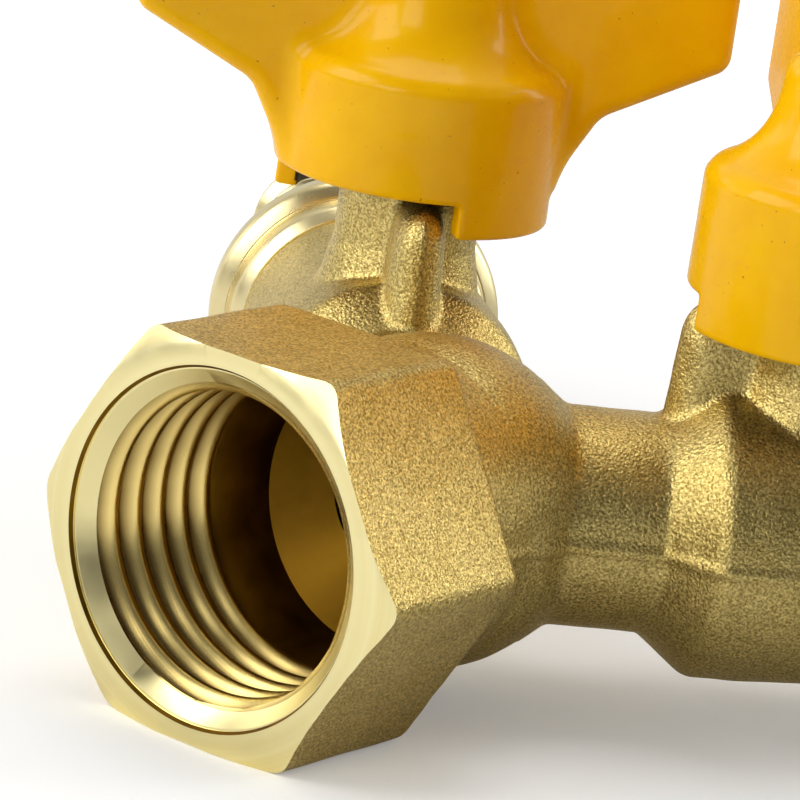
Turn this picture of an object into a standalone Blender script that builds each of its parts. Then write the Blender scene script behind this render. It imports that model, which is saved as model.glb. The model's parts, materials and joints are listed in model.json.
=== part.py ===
"""Twin-outlet gas ball valve.

A forged brass Y body has one hexagonal threaded inlet and two branches, 90 degrees apart. Each branch holds
a quarter-turn ball valve with a butterfly handle, and ends in a screwed hose nozzle.

The origin is under the middle of the valve, on the surface it stands on. +Z runs up the stems and +Y runs
from the inlet to the outlets. The valve is shut on both sides: the handles lie across their branches.
"""
import bpy
import bmesh
from math import asin, atan2, cos, degrees, pi, radians, sin, sqrt, tan

MM = 0.001
GAP = 0.3 * MM                     # clearance left between pieces that touch

# Driving dimensions. Distances along the inlet and the branches are from the point where their axes meet.
BRANCH_ANGLE = radians(45)         # of each branch, from the inlet's axis
HEX_ACROSS_FLATS = 25.0 * MM       # G 1/2 female end
INLET_FACE = 21.4 * MM
HEX_LENGTH = 13.1 * MM
HEX_CHAMFER_ANGLE = radians(30)
MOUTH_RADIUS = 11.25 * MM
THREAD_RADIUS = 9.32 * MM          # crests of a G 1/2 internal thread
THREAD_DEPTH = 12.8 * MM
INLET_BORE_RADIUS = 9.2 * MM
INLET_BORE_END = 4.5 * MM          # where the drill's cone begins
DRILL_HALF_ANGLE = radians(59)
JUNCTION_RADIUS = 10.9 * MM
PIPE_RADIUS = 7.18 * MM
PIPE_START = 8.6 * MM
BORE_RADIUS = 4.75 * MM
CONE_ANGLE = radians(38)           # of the body's swells, from their axis

# Each valve is drawn about its ball's centre: +Y downstream, +Z up the stem.
VALVE_DISTANCE = 24.55 * MM
PIPE_END_Y = -9.7 * MM
BARREL_RADIUS = 9.75 * MM
BARREL_TAPER_Y = -3.5 * MM         # downstream of this the barrel narrows
BARREL_END_Y = 15.8 * MM
BARREL_END_RADIUS = 8.75 * MM
NECK_RADIUS = 4.92 * MM
NECK_TOP = 19.0 * MM
POST_WIDTH = 3.4 * MM
POST_REACH = 9.5 * MM
POST_TOP = 15.5 * MM
TRAVEL = radians(90)

BALL_RADIUS = 7.0 * MM
BALL_BORE_RADIUS = 4.5 * MM
CHAMBER_RADIUS = BALL_RADIUS + GAP
CHAMBER_HALF_LENGTH = 7.8 * MM
SEAT_FACE_Y = 3.4 * MM

PLUG_RADIUS = 7.5 * MM             # the nozzle's screwed part
PLUG_START_Y = 8.1 * MM
NOZZLE_BORE_RADIUS = 3.0 * MM
NOZZLE_GROOVE_RADIUS = 6.0 * MM
NOZZLE_GROOVE_Y = 10.5 * MM
NOZZLE_RING_RADIUS = 0.65 * MM
COLLAR_RADIUS = 10.65 * MM
COLLAR_Y = 20.2 * MM
COLLAR_END_Y = 21.8 * MM
NOZZLE_NECK_RADIUS = 4.9 * MM
BARB_COUNT = 5
BARB_PITCH = 4.4 * MM
BARB_RADIUS = 5.3 * MM
BARB_ROOT_RADIUS = 4.3 * MM
NOZZLE_END_Y = 51.0 * MM

STEM_RADIUS = 3.0 * MM
STEM_BORE_RADIUS = 3.4 * MM
SHOULDER_RADIUS = 3.8 * MM
SHOULDER_BOTTOM = 7.7 * MM
SHOULDER_TOP = 8.9 * MM
COUNTERBORE_TOP = 10.1 * MM
STEM_ROUND_TOP = 21.0 * MM
STEM_TOP = 29.4 * MM
STEM_GROOVE_RADIUS = 2.1 * MM
STEM_GROOVE_WIDTH = 1.5 * MM
STEM_GROOVE_HEIGHTS = {"lower": 12.55 * MM, "upper": 16.15 * MM}
STEM_RING_RADIUS = 0.45 * MM
TANG_WIDTH = 2.0 * MM
TANG_LENGTH = 6.0 * MM
TANG_BOTTOM = 5.6 * MM
DRIVE_SIDE = 4.2 * MM              # square drive at the stem's top
SCREW_HOLE_BOTTOM = 21.5 * MM

LIP_BOTTOM = 13.7 * MM             # the part of the skirt that meets the stop post
SKIRT_BOTTOM = 16.0 * MM
SKIRT_RADIUS = 9.5 * MM
SKIRT_INNER_RADIUS = 7.9 * MM
SKIRT_CEILING = 21.5 * MM
LEDGE_HEIGHT = 24.3 * MM
LEDGE_RADIUS = 9.35 * MM
LEDGE_ROUND = 0.7 * MM
HUB_RADIUS = 5.4 * MM
HUB_FLARE = (
    (5.4 * MM, 28.9 * MM),
    (6.1 * MM, 27.3 * MM),
    (7.2 * MM, 25.9 * MM),
    (8.1 * MM, 25.0 * MM),
)
HUB_TOP = 32.0 * MM
HUB_ROUND = 1.2 * MM
RECESS_RADIUS = 4.0 * MM
RECESS_FLOOR = 30.0 * MM
STOP_CLEARANCE = radians(0.7)
WING_THICKNESS = 4.4 * MM
WING_REACH = 20.5 * MM
WING_TIP_BOTTOM = 25.8 * MM
WING_ROOT_BOTTOM = 16.6 * MM
WING_KNEE = (12.1 * MM, 21.5 * MM)  # where the lower edge turns outwards, across and up
WING_TIP_TOP = 40.0 * MM

WASHER_RADIUS = 3.7 * MM
WASHER_THICKNESS = 0.7 * MM
SCREW_RADIUS = 1.5 * MM
SCREW_HEAD_RADIUS = 3.0 * MM
SCREW_HEAD_HEIGHT = 2.3 * MM
SCREW_BOTTOM = 22.0 * MM

# Facets round each kind of turned piece.
BODY_STEPS = 28
HANDLE_STEPS = 28
INNER_STEPS = 20
SMALL_STEPS = 16

SIDES = {"left": 1, "right": -1}   # the sign of the branch's turn about +Z

AXIS_HEIGHT = HEX_ACROSS_FLATS / 2
NOZZLE_REACH = VALVE_DISTANCE + NOZZLE_END_Y
NOZZLE_TIP_RADIUS = BARB_ROOT_RADIUS - 0.3 * MM
JUNCTION_Y = (INLET_FACE - (NOZZLE_REACH + NOZZLE_TIP_RADIUS) * cos(BRANCH_ANGLE)) / 2


# ---------------------------------------------------------------- tools

def new_collection(name):
    collection = bpy.data.collections.new(name)
    bpy.context.scene.collection.children.link(collection)
    return collection


def add_object(name, mesh, collection):
    piece = bpy.data.objects.new(name, mesh)
    collection.objects.link(piece)
    return piece


def hide_helper(piece):
    piece.hide_render = True
    piece.display_type = "WIRE"


def arc(centre_r, centre_z, radius, start, end, count):
    """Points along an arc, angles in degrees from +radius towards +height."""
    angles = [radians(start + (end - start) * i / count) for i in range(count + 1)]
    return [(centre_r + radius * cos(a), centre_z + radius * sin(a)) for a in angles]


def turned(name, profile, steps, collection, closed=False):
    """Turn a (radius, height) profile about local Z. It runs down the outer side; closed makes a ring."""
    mesh = bpy.data.meshes.new(name)
    points = [(r, 0, z) for r, z in profile]
    edges = [(i, i + 1) for i in range(len(points) - 1)]
    if closed:
        edges.append((len(points) - 1, 0))
    mesh.from_pydata(points, edges, [])
    piece = add_object(name, mesh, collection)
    turn = piece.modifiers.new("Turn", "SCREW")
    turn.steps = steps
    turn.render_steps = steps
    turn.use_merge_vertices = True
    turn.merge_threshold = 0.00001
    return piece


def cylinder(name, radius, bottom, top, steps, collection):
    return turned(name, [(0, top), (radius, top), (radius, bottom), (0, bottom)], steps, collection)


def box(name, size, centre, collection):
    mesh = bpy.data.meshes.new(name)
    shape = bmesh.new()
    bmesh.ops.create_cube(shape, size=1)
    bmesh.ops.scale(shape, vec=size, verts=shape.verts)
    bmesh.ops.translate(shape, vec=centre, verts=shape.verts)
    shape.to_mesh(mesh)
    shape.free()
    return add_object(name, mesh, collection)


def prism(name, sides, corner_radius, bottom, top, turn, collection):
    """A regular prism along Z, its first corner turned by the given angle."""
    mesh = bpy.data.meshes.new(name)
    shape = bmesh.new()
    bmesh.ops.create_cone(shape, cap_ends=True, segments=sides, radius1=corner_radius,
                          radius2=corner_radius, depth=top - bottom)
    bmesh.ops.translate(shape, vec=(0, 0, (top + bottom) / 2), verts=shape.verts)
    mesh_turn = turn - pi / 2
    for vertex in shape.verts:
        x, y = vertex.co.x, vertex.co.y
        vertex.co.x = x * cos(mesh_turn) - y * sin(mesh_turn)
        vertex.co.y = x * sin(mesh_turn) + y * cos(mesh_turn)
    shape.to_mesh(mesh)
    shape.free()
    return add_object(name, mesh, collection)


def plate(name, outline, half_thickness, collection):
    """A flat outline in local XY, filled and thickened along local Z, as a welded mesh."""
    curve = bpy.data.curves.new(name, "CURVE")
    curve.dimensions = "2D"
    curve.fill_mode = "BOTH"
    curve.extrude = half_thickness
    spline = curve.splines.new("POLY")
    spline.points.add(len(outline) - 1)
    for point, (x, y) in zip(spline.points, outline):
        point.co = (x, y, 0, 1)
    spline.use_cyclic_u = True
    source = add_object(name + "_outline", curve, collection)
    bpy.context.view_layer.update()
    mesh = bpy.data.meshes.new_from_object(source.evaluated_get(bpy.context.evaluated_depsgraph_get()))
    bpy.data.objects.remove(source)
    shape = bmesh.new()
    shape.from_mesh(mesh)
    bmesh.ops.remove_doubles(shape, verts=shape.verts, dist=0.00001)
    bmesh.ops.dissolve_limit(shape, angle_limit=radians(1), verts=shape.verts, edges=shape.edges)
    bmesh.ops.recalc_face_normals(shape, faces=shape.faces)
    shape.to_mesh(mesh)
    shape.free()
    return add_object(name, mesh, collection)


def rounded_outline(corners, count=3):
    """Points of a polygon whose corners, given as (x, y, radius), are rounded by arcs."""
    points = []
    for i, (x, y, radius) in enumerate(corners):
        if radius == 0:
            points.append((x, y))
            continue
        before = corners[i - 1]
        after = corners[(i + 1) % len(corners)]
        to_before = atan2(before[1] - y, before[0] - x)
        to_after = atan2(after[1] - y, after[0] - x)
        half = ((to_after - to_before + pi) % (2 * pi) - pi) / 2
        middle = to_before + half
        depth = radius / abs(sin(half))
        centre_x = x + depth * cos(middle)
        centre_y = y + depth * sin(middle)
        sweep = pi / 2 - abs(half)
        turn = -1 if half > 0 else 1
        for step in range(count + 1):
            angle = middle + pi - turn * sweep * (1 - 2 * step / count)
            points.append((centre_x + radius * cos(angle), centre_y + radius * sin(angle)))
    return points


def boolean(piece, operation, other):
    """Cut, join or intersect with an object or with a whole collection."""
    modifier = piece.modifiers.new(operation.title(), "BOOLEAN")
    modifier.operation = operation
    modifier.solver = "EXACT"
    if isinstance(other, bpy.types.Collection):
        modifier.operand_type = "COLLECTION"
        modifier.collection = other
    else:
        modifier.object = other
        hide_helper(other)


def bake(piece):
    """Replace a piece's mesh by its evaluated one, shaded smooth where it is round."""
    depsgraph = bpy.context.evaluated_depsgraph_get()
    mesh = bpy.data.meshes.new_from_object(piece.evaluated_get(depsgraph))
    piece.modifiers.clear()
    piece.data = mesh
    mesh.name = piece.name
    mesh.shade_smooth()
    mesh.set_sharp_from_angle(angle=radians(32))


def make_material(name, colour, roughness, metallic):
    material = bpy.data.materials.new(name)
    material.use_nodes = True
    shader = material.node_tree.nodes["Principled BSDF"]
    shader.inputs["Base Color"].default_value = (*colour, 1)
    shader.inputs["Roughness"].default_value = roughness
    shader.inputs["Metallic"].default_value = metallic
    return material


def paint(piece, material):
    own = material.copy()
    own.name = piece.name + "_material"
    piece.data.materials.clear()
    piece.data.materials.append(own)


# ---------------------------------------------------------------- placing

def valve_frame(side, parts):
    """An empty at a valve's ball centre, +Y downstream."""
    turn = SIDES[side] * BRANCH_ANGLE
    frame = bpy.data.objects.new(side + "_ball_centre", None)
    frame.location = (-sin(turn) * VALVE_DISTANCE, JUNCTION_Y + cos(turn) * VALVE_DISTANCE, AXIS_HEIGHT)
    frame.rotation_euler = (0, 0, turn)
    parts.objects.link(frame)
    return frame


def place(piece, frame, downstream=0):
    """Put a piece into a valve: upright, or with its local Z along the branch (+1) or against it (-1)."""
    piece.parent = frame
    piece.rotation_euler = (-downstream * pi / 2, 0, 0)
    return piece


def lay_along_inlet(piece):
    """Point a piece's local Z from the inlet towards the outlets, with its zero where the axes meet."""
    piece.location = (0, JUNCTION_Y, AXIS_HEIGHT)
    piece.rotation_euler = (-pi / 2, 0, 0)
    return piece


# ---------------------------------------------------------------- body

def branch_profile():
    """Outer shape of one branch, downstream end first."""
    swell_run = (BARREL_RADIUS - PIPE_RADIUS) / tan(CONE_ANGLE)
    tangent_run = JUNCTION_RADIUS * sin(CONE_ANGLE) - VALVE_DISTANCE
    tangent_radius = JUNCTION_RADIUS * cos(CONE_ANGLE)
    pipe_start_y = PIPE_START - VALVE_DISTANCE
    swell_end_y = PIPE_END_Y + swell_run
    return [
        (0, BARREL_END_Y),
        (BARREL_END_RADIUS, BARREL_END_Y),
        (BARREL_RADIUS, BARREL_TAPER_Y),
        (BARREL_RADIUS, swell_end_y + 0.8 * MM),
        (BARREL_RADIUS - 0.3 * MM, swell_end_y - 0.3 * MM),
        (PIPE_RADIUS, PIPE_END_Y),
        (PIPE_RADIUS, pipe_start_y),
        (tangent_radius, tangent_run - 0.1 * MM),
        (tangent_radius - 2 * MM, tangent_run - 1 * MM),
        (0, tangent_run - 1 * MM),
    ]


def chamber_profile():
    """Hollow of one branch: bore, ball chamber and the nozzle's socket, downstream end first."""
    socket_radius = PLUG_RADIUS + GAP
    socket_start = PLUG_START_Y - GAP
    return [
        (0, BARREL_END_Y + MM),
        (socket_radius, BARREL_END_Y + MM),
        (socket_radius, socket_start),
        (CHAMBER_RADIUS, socket_start),
        (CHAMBER_RADIUS, -CHAMBER_HALF_LENGTH),
        (BORE_RADIUS, -CHAMBER_HALF_LENGTH),
        (BORE_RADIUS, -VALVE_DISTANCE),
        (0, -VALVE_DISTANCE),
    ]


def stem_hole_profile():
    return [
        (0, NECK_TOP + MM),
        (STEM_BORE_RADIUS, NECK_TOP + MM),
        (STEM_BORE_RADIUS, COUNTERBORE_TOP),
        (SHOULDER_RADIUS + GAP, COUNTERBORE_TOP),
        (SHOULDER_RADIUS + GAP, 0),
        (0, 0),
    ]


def inlet_profile():
    """Hollow of the inlet, its blind end first, in the inlet's own direction."""
    cone_depth = INLET_BORE_RADIUS / tan(DRILL_HALF_ANGLE)
    thread_end = -INLET_FACE + THREAD_DEPTH
    mouth_depth = MOUTH_RADIUS - THREAD_RADIUS
    return [
        (0, -INLET_BORE_END + cone_depth),
        (INLET_BORE_RADIUS, -INLET_BORE_END),
        (INLET_BORE_RADIUS, thread_end),
        (THREAD_RADIUS, thread_end),
        (THREAD_RADIUS, -INLET_FACE + mouth_depth),
        (MOUTH_RADIUS + MM, -INLET_FACE - MM),
        (0, -INLET_FACE - MM),
    ]


def build_body(parts, frames):
    solids = new_collection("Body solids")
    hollows = new_collection("Body hollows")
    trimming = new_collection("Body trimming")
    corner_radius = HEX_ACROSS_FLATS / sqrt(3)
    body = prism("body", 6, corner_radius, -INLET_FACE, HEX_LENGTH - INLET_FACE, 0, parts)
    lay_along_inlet(body)

    # A turned cone takes the hexagon's front corners off.
    setback = 1.0 * MM
    face_radius = corner_radius - setback / tan(HEX_CHAMFER_ANGLE)
    chamfer = turned("hex_chamfer", [
        (0, 0),
        (corner_radius + MM, 0),
        (corner_radius + MM, -INLET_FACE + setback + tan(HEX_CHAMFER_ANGLE) * MM),
        (face_radius, -INLET_FACE),
        (0, -INLET_FACE)], BODY_STEPS * 2, trimming)
    lay_along_inlet(chamfer)
    boolean(body, "INTERSECT", chamfer)

    junction = turned("junction", arc(0, 0, JUNCTION_RADIUS, 90, -90, 14), BODY_STEPS, solids)
    lay_along_inlet(junction)
    root = cylinder("hex_root", JUNCTION_RADIUS - 0.3 * MM, -INLET_FACE / 2, 0, BODY_STEPS, solids)
    lay_along_inlet(root)
    lay_along_inlet(turned("inlet_hollow", inlet_profile(), BODY_STEPS, hollows))
    for side, frame in frames.items():
        place(turned(side + "_branch", branch_profile(), BODY_STEPS, solids), frame, 1)
        place(cylinder(side + "_neck", NECK_RADIUS, 0, NECK_TOP, BODY_STEPS, solids), frame)
        post = box(side + "_post", (POST_WIDTH, POST_REACH - STEM_BORE_RADIUS, POST_TOP),
                   (0, -(POST_REACH + STEM_BORE_RADIUS) / 2, POST_TOP / 2), solids)
        rounding = post.modifiers.new("Rounding", "BEVEL")
        rounding.width = 0.6 * MM
        rounding.segments = 1
        place(post, frame)
        place(turned(side + "_chamber", chamber_profile(), BODY_STEPS, hollows), frame, 1)
        place(turned(side + "_stem_hole", stem_hole_profile(), BODY_STEPS, hollows), frame)
    boolean(body, "UNION", solids)
    boolean(body, "DIFFERENCE", hollows)
    for helper in (*solids.objects, *hollows.objects):
        hide_helper(helper)
    return body


# ---------------------------------------------------------------- inside each valve

def build_ball(name, parts, cutters):
    """A ball bored across the branch when shut, with a slot on top for the stem's tang."""
    count = INNER_STEPS // 2
    ball = turned(name, arc(0, 0, BALL_RADIUS, 90, -90, count), INNER_STEPS, parts)
    bore = cylinder(name + "_bore", BALL_BORE_RADIUS, -BALL_RADIUS - MM, BALL_RADIUS + MM, INNER_STEPS,
                    cutters)
    bore.rotation_euler = (0, pi / 2, 0)
    slot_bottom = TANG_BOTTOM - GAP
    slot = box(name + "_slot", (TANG_WIDTH + 2 * GAP, 2 * BALL_RADIUS, 2 * MM),
               (0, 0, slot_bottom + MM), cutters)
    for cutter in (bore, slot):
        boolean(ball, "DIFFERENCE", cutter)
    return ball


def build_seat(name, parts):
    """A seat ring, hollowed to the ball. Its ball side is at the top of local Z."""
    outer = CHAMBER_RADIUS - GAP
    inner = BORE_RADIUS + 0.15 * MM
    hollow = BALL_RADIUS + GAP
    start = degrees(atan2(-sqrt(hollow ** 2 - inner ** 2), inner))
    end = degrees(atan2(-SEAT_FACE_Y, sqrt(hollow ** 2 - SEAT_FACE_Y ** 2)))
    back = -CHAMBER_HALF_LENGTH + GAP
    profile = [(outer, -SEAT_FACE_Y), (outer, back), (inner, back)] + arc(0, 0, hollow, start, end, 3)
    return turned(name, profile, INNER_STEPS, parts, closed=True)


def build_washer(name, inner, outer, bottom, top, parts):
    profile = [(outer, top), (outer, bottom), (inner, bottom), (inner, top)]
    return turned(name, profile, INNER_STEPS, parts, closed=True)


def build_ring(name, centre_radius, centre_height, section_radius, parts):
    """An O-ring."""
    section = arc(centre_radius, centre_height, section_radius, 90, -225, 7)
    return turned(name, section, SMALL_STEPS, parts, closed=True)


def build_stem(name, parts, cutters):
    profile = [(0, STEM_ROUND_TOP), (STEM_RADIUS, STEM_ROUND_TOP)]
    for key in ("upper", "lower"):
        height = STEM_GROOVE_HEIGHTS[key]
        top = height + STEM_GROOVE_WIDTH / 2
        bottom = height - STEM_GROOVE_WIDTH / 2
        profile += [(STEM_RADIUS, top), (STEM_GROOVE_RADIUS, top),
                    (STEM_GROOVE_RADIUS, bottom), (STEM_RADIUS, bottom)]
    profile += [(STEM_RADIUS, SHOULDER_TOP), (SHOULDER_RADIUS, SHOULDER_TOP),
                (SHOULDER_RADIUS, SHOULDER_BOTTOM), (0, SHOULDER_BOTTOM)]
    stem = turned(name, profile, INNER_STEPS, parts)
    tang_top = SHOULDER_BOTTOM + 0.5 * MM
    tang = box(name + "_tang", (TANG_WIDTH, TANG_LENGTH, tang_top - TANG_BOTTOM),
               (0, 0, (tang_top + TANG_BOTTOM) / 2), cutters)
    drive = prism(name + "_drive", 4, DRIVE_SIDE / sqrt(2), STEM_ROUND_TOP - 0.5 * MM, STEM_TOP,
                  pi / 4, cutters)
    hole = cylinder(name + "_hole", SCREW_RADIUS + GAP, SCREW_HOLE_BOTTOM, STEM_TOP + MM, SMALL_STEPS,
                    cutters)
    boolean(stem, "UNION", tang)
    boolean(stem, "UNION", drive)
    boolean(stem, "DIFFERENCE", hole)
    return stem


def build_nozzle(name, parts):
    """Screwed plug with a ring groove, a polished collar in two rounded steps, and a barbed hose tail."""
    profile = [(NOZZLE_TIP_RADIUS, NOZZLE_END_Y), (BARB_ROOT_RADIUS, NOZZLE_END_Y - 0.5 * MM)]
    for barb in range(BARB_COUNT):
        crest = NOZZLE_END_Y - (barb + 0.75) * BARB_PITCH
        root = NOZZLE_END_Y - (barb + 1) * BARB_PITCH
        profile += [(BARB_RADIUS, crest), (BARB_RADIUS, crest - 0.3 * MM), (BARB_ROOT_RADIUS, root)]
    tail_start = NOZZLE_END_Y - (BARB_COUNT + 0.2) * BARB_PITCH
    profile += [(NOZZLE_NECK_RADIUS, tail_start), (NOZZLE_NECK_RADIUS, COLLAR_END_Y)]
    profile += [(COLLAR_RADIUS - MM, COLLAR_END_Y), (COLLAR_RADIUS, COLLAR_END_Y - MM)]
    step_y = BARREL_END_Y + GAP + 3.0 * MM
    step_radius = COLLAR_RADIUS - MM
    profile += arc(step_radius, COLLAR_Y, MM, 0, -70, 3)
    profile += [(step_radius, step_y)]
    profile += arc(BARREL_END_RADIUS + 0.1 * MM, step_y - 0.6 * MM, 0.8 * MM, 0, -70, 2)
    groove_top = NOZZLE_GROOVE_Y + NOZZLE_RING_RADIUS + 0.25 * MM
    groove_bottom = NOZZLE_GROOVE_Y - NOZZLE_RING_RADIUS - 0.25 * MM
    profile += [
        (BARREL_END_RADIUS, BARREL_END_Y + GAP),
        (PLUG_RADIUS, BARREL_END_Y + GAP),
        (PLUG_RADIUS, groove_top),
        (NOZZLE_GROOVE_RADIUS, groove_top),
        (NOZZLE_GROOVE_RADIUS, groove_bottom),
        (PLUG_RADIUS, groove_bottom),
        (PLUG_RADIUS, PLUG_START_Y),
        (NOZZLE_BORE_RADIUS, PLUG_START_Y),
        (NOZZLE_BORE_RADIUS, NOZZLE_END_Y),
    ]
    return turned(name, profile, INNER_STEPS, parts, closed=True)


# ---------------------------------------------------------------- handle and its fastening

def handle_profile():
    """Outer shape of the skirt and the hub, as if they were solid."""
    profile = [(0, HUB_TOP)] + arc(HUB_RADIUS - HUB_ROUND, HUB_TOP - HUB_ROUND, HUB_ROUND, 90, 0, 2)
    profile += HUB_FLARE
    profile += arc(LEDGE_RADIUS - LEDGE_ROUND, LEDGE_HEIGHT - LEDGE_ROUND, LEDGE_ROUND, 75, 0, 2)
    profile += [(SKIRT_RADIUS, SKIRT_BOTTOM), (SKIRT_RADIUS, LIP_BOTTOM), (0, LIP_BOTTOM)]
    return profile


def wing_outline():
    """Both wings in one outline, across and up, counter-clockwise from the bottom right."""
    right = [
        (SKIRT_RADIUS - 0.1 * MM, WING_ROOT_BOTTOM, 0),
        (*WING_KNEE, 2.5 * MM),
        (WING_REACH, WING_TIP_BOTTOM, 1.5 * MM),
        (WING_REACH, WING_TIP_TOP, 3.0 * MM),
        (8.5 * MM, HUB_TOP + 0.4 * MM, 6.0 * MM),
    ]
    left = [(-across, up, radius) for across, up, radius in reversed(right)]
    return rounded_outline(right + left)


def window_outline():
    """The sector of skirt that is left open for the stop post, seen from above."""
    post_half_angle = asin(POST_WIDTH / 2 / SKIRT_INNER_RADIUS)
    start = -pi / 2 + post_half_angle + STOP_CLEARANCE
    span = TRAVEL + 2 * post_half_angle + 2 * STOP_CLEARANCE
    count = 6
    reach = SKIRT_RADIUS + 4 * MM
    angles = [start - span + span * i / count for i in range(count + 1)]
    return [(0, 0)] + [(reach * cos(a), reach * sin(a)) for a in angles]


def build_handle(name, parts, cutters):
    handle = turned(name, handle_profile(), HANDLE_STEPS, parts)
    wings = plate(name + "_wings", wing_outline(), WING_THICKNESS / 2, cutters)
    wings.rotation_euler = (pi / 2, 0, 0)
    edges = wings.modifiers.new("Edges", "BEVEL")
    edges.width = 0.7 * MM
    edges.segments = 1
    edges.limit_method = "ANGLE"
    edges.angle_limit = radians(40)
    window = plate(name + "_window", window_outline(), (SKIRT_BOTTOM - LIP_BOTTOM + MM) / 2, cutters)
    window.location = (0, 0, (SKIRT_BOTTOM + LIP_BOTTOM - MM) / 2)
    cavity = cylinder(name + "_cavity", SKIRT_INNER_RADIUS, LIP_BOTTOM - MM, SKIRT_CEILING, HANDLE_STEPS,
                      cutters)
    recess = cylinder(name + "_recess", RECESS_RADIUS, RECESS_FLOOR, WING_TIP_TOP, HANDLE_STEPS, cutters)
    socket = prism(name + "_socket", 4, (DRIVE_SIDE / 2 + GAP) * sqrt(2), SKIRT_CEILING - MM,
                   RECESS_FLOOR + MM, pi / 4, cutters)
    boolean(handle, "UNION", wings)
    for cutter in (window, cavity, recess, socket):
        boolean(handle, "DIFFERENCE", cutter)
    return handle


def build_screw(name, parts, cutters):
    head_bottom = RECESS_FLOOR + 2 * GAP + WASHER_THICKNESS
    head_top = head_bottom + SCREW_HEAD_HEIGHT
    screw = turned(name, [
        (0, head_top),
        (SCREW_HEAD_RADIUS - 0.8 * MM, head_top),
        (SCREW_HEAD_RADIUS, head_top - 0.8 * MM),
        (SCREW_HEAD_RADIUS, head_bottom),
        (SCREW_RADIUS, head_bottom),
        (SCREW_RADIUS, SCREW_BOTTOM),
        (0, SCREW_BOTTOM)], SMALL_STEPS, parts)
    for number, size in enumerate(((3.4 * MM, 0.8 * MM, 2 * MM), (0.8 * MM, 3.4 * MM, 2 * MM))):
        arm = box(name + "_recess_" + str(number), size, (0, 0, head_top), cutters)
        boolean(screw, "DIFFERENCE", arm)
    return screw


# ---------------------------------------------------------------- assembly

def build_valve(side, frame, parts, cutters, materials):
    """Every loose piece of one valve, already placed."""
    nozzle_ring_centre = (NOZZLE_GROOVE_RADIUS + PLUG_RADIUS + GAP) / 2
    stem_ring_centre = (STEM_GROOVE_RADIUS + STEM_BORE_RADIUS) / 2
    washer_bottom = SHOULDER_TOP + GAP
    washer_top = COUNTERBORE_TOP - GAP
    screw_washer_bottom = RECESS_FLOOR + GAP
    name = side + "_"
    pieces = [
        (build_ball(name + "ball", parts, cutters), 0, "chrome"),
        (build_seat(name + "inner_seat", parts), 1, "ptfe"),
        (build_seat(name + "outer_seat", parts), -1, "ptfe"),
        (build_stem(name + "stem", parts, cutters), 0, "brass"),
        (build_washer(name + "thrust_washer", STEM_RADIUS + GAP, SHOULDER_RADIUS, washer_bottom, washer_top,
                      parts), 0, "ptfe"),
        (build_nozzle(name + "outlet_nozzle", parts), 1, "bright_brass"),
        (build_ring(name + "nozzle_o_ring", nozzle_ring_centre, NOZZLE_GROOVE_Y, NOZZLE_RING_RADIUS,
                    parts),
         1, "rubber"),
        (build_handle(name + "handle", parts, cutters), 0, "enamel"),
        (build_washer(name + "screw_washer", SCREW_RADIUS + GAP, WASHER_RADIUS, screw_washer_bottom,
                      screw_washer_bottom + WASHER_THICKNESS, parts), 0, "steel"),
        (build_screw(name + "handle_screw", parts, cutters), 0, "steel"),
    ]
    for key, height in STEM_GROOVE_HEIGHTS.items():
        ring = build_ring(name + "stem_o_ring_" + key, stem_ring_centre, height, STEM_RING_RADIUS, parts)
        pieces.append((ring, 0, "rubber"))
    for piece, downstream, material in pieces:
        place(piece, frame, downstream)
        bpy.context.view_layer.update()
    return [(piece, materials[material]) for piece, downstream, material in pieces]


def main():
    for existing in list(bpy.data.objects):
        bpy.data.objects.remove(existing)
    parts = new_collection("Twin gas valve")
    materials = {
        "brass": make_material("brass", (0.52, 0.38, 0.15), 0.45, 1.0),
        "bright_brass": make_material("bright_brass", (0.80, 0.65, 0.32), 0.22, 1.0),
        "enamel": make_material("enamel", (0.90, 0.48, 0.0), 0.25, 0.0),
        "chrome": make_material("chrome", (0.75, 0.75, 0.76), 0.08, 1.0),
        "ptfe": make_material("ptfe", (0.85, 0.85, 0.83), 0.5, 0.0),
        "rubber": make_material("rubber", (0.02, 0.02, 0.02), 0.6, 0.0),
        "steel": make_material("steel", (0.6, 0.6, 0.6), 0.3, 1.0),
    }
    frames = {side: valve_frame(side, parts) for side in SIDES}
    finished = [(build_body(parts, frames), materials["brass"])]
    for side, frame in frames.items():
        cutters = new_collection(side + " helpers")
        finished += build_valve(side, frame, parts, cutters, materials)
        for helper in cutters.objects:
            helper.parent = frame
            hide_helper(helper)
    bpy.context.view_layer.update()
    for piece, material in finished:
        bake(piece)
        paint(piece, material)


main()
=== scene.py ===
"""Looks of the twin-outlet gas ball valve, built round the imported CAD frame.

Shapes are worked out in millimetres, about the point where the inlet and the two branches meet (the junction)
or about a ball's centre (a valve's own frame: +Y downstream, +Z up the stem). They become metres at the end.
"""

import bmesh
import bpy
import json
import numpy as np
from math import atan2, cos, pi, radians, sin, sqrt, tan
from mathutils import Matrix, Vector

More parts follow.
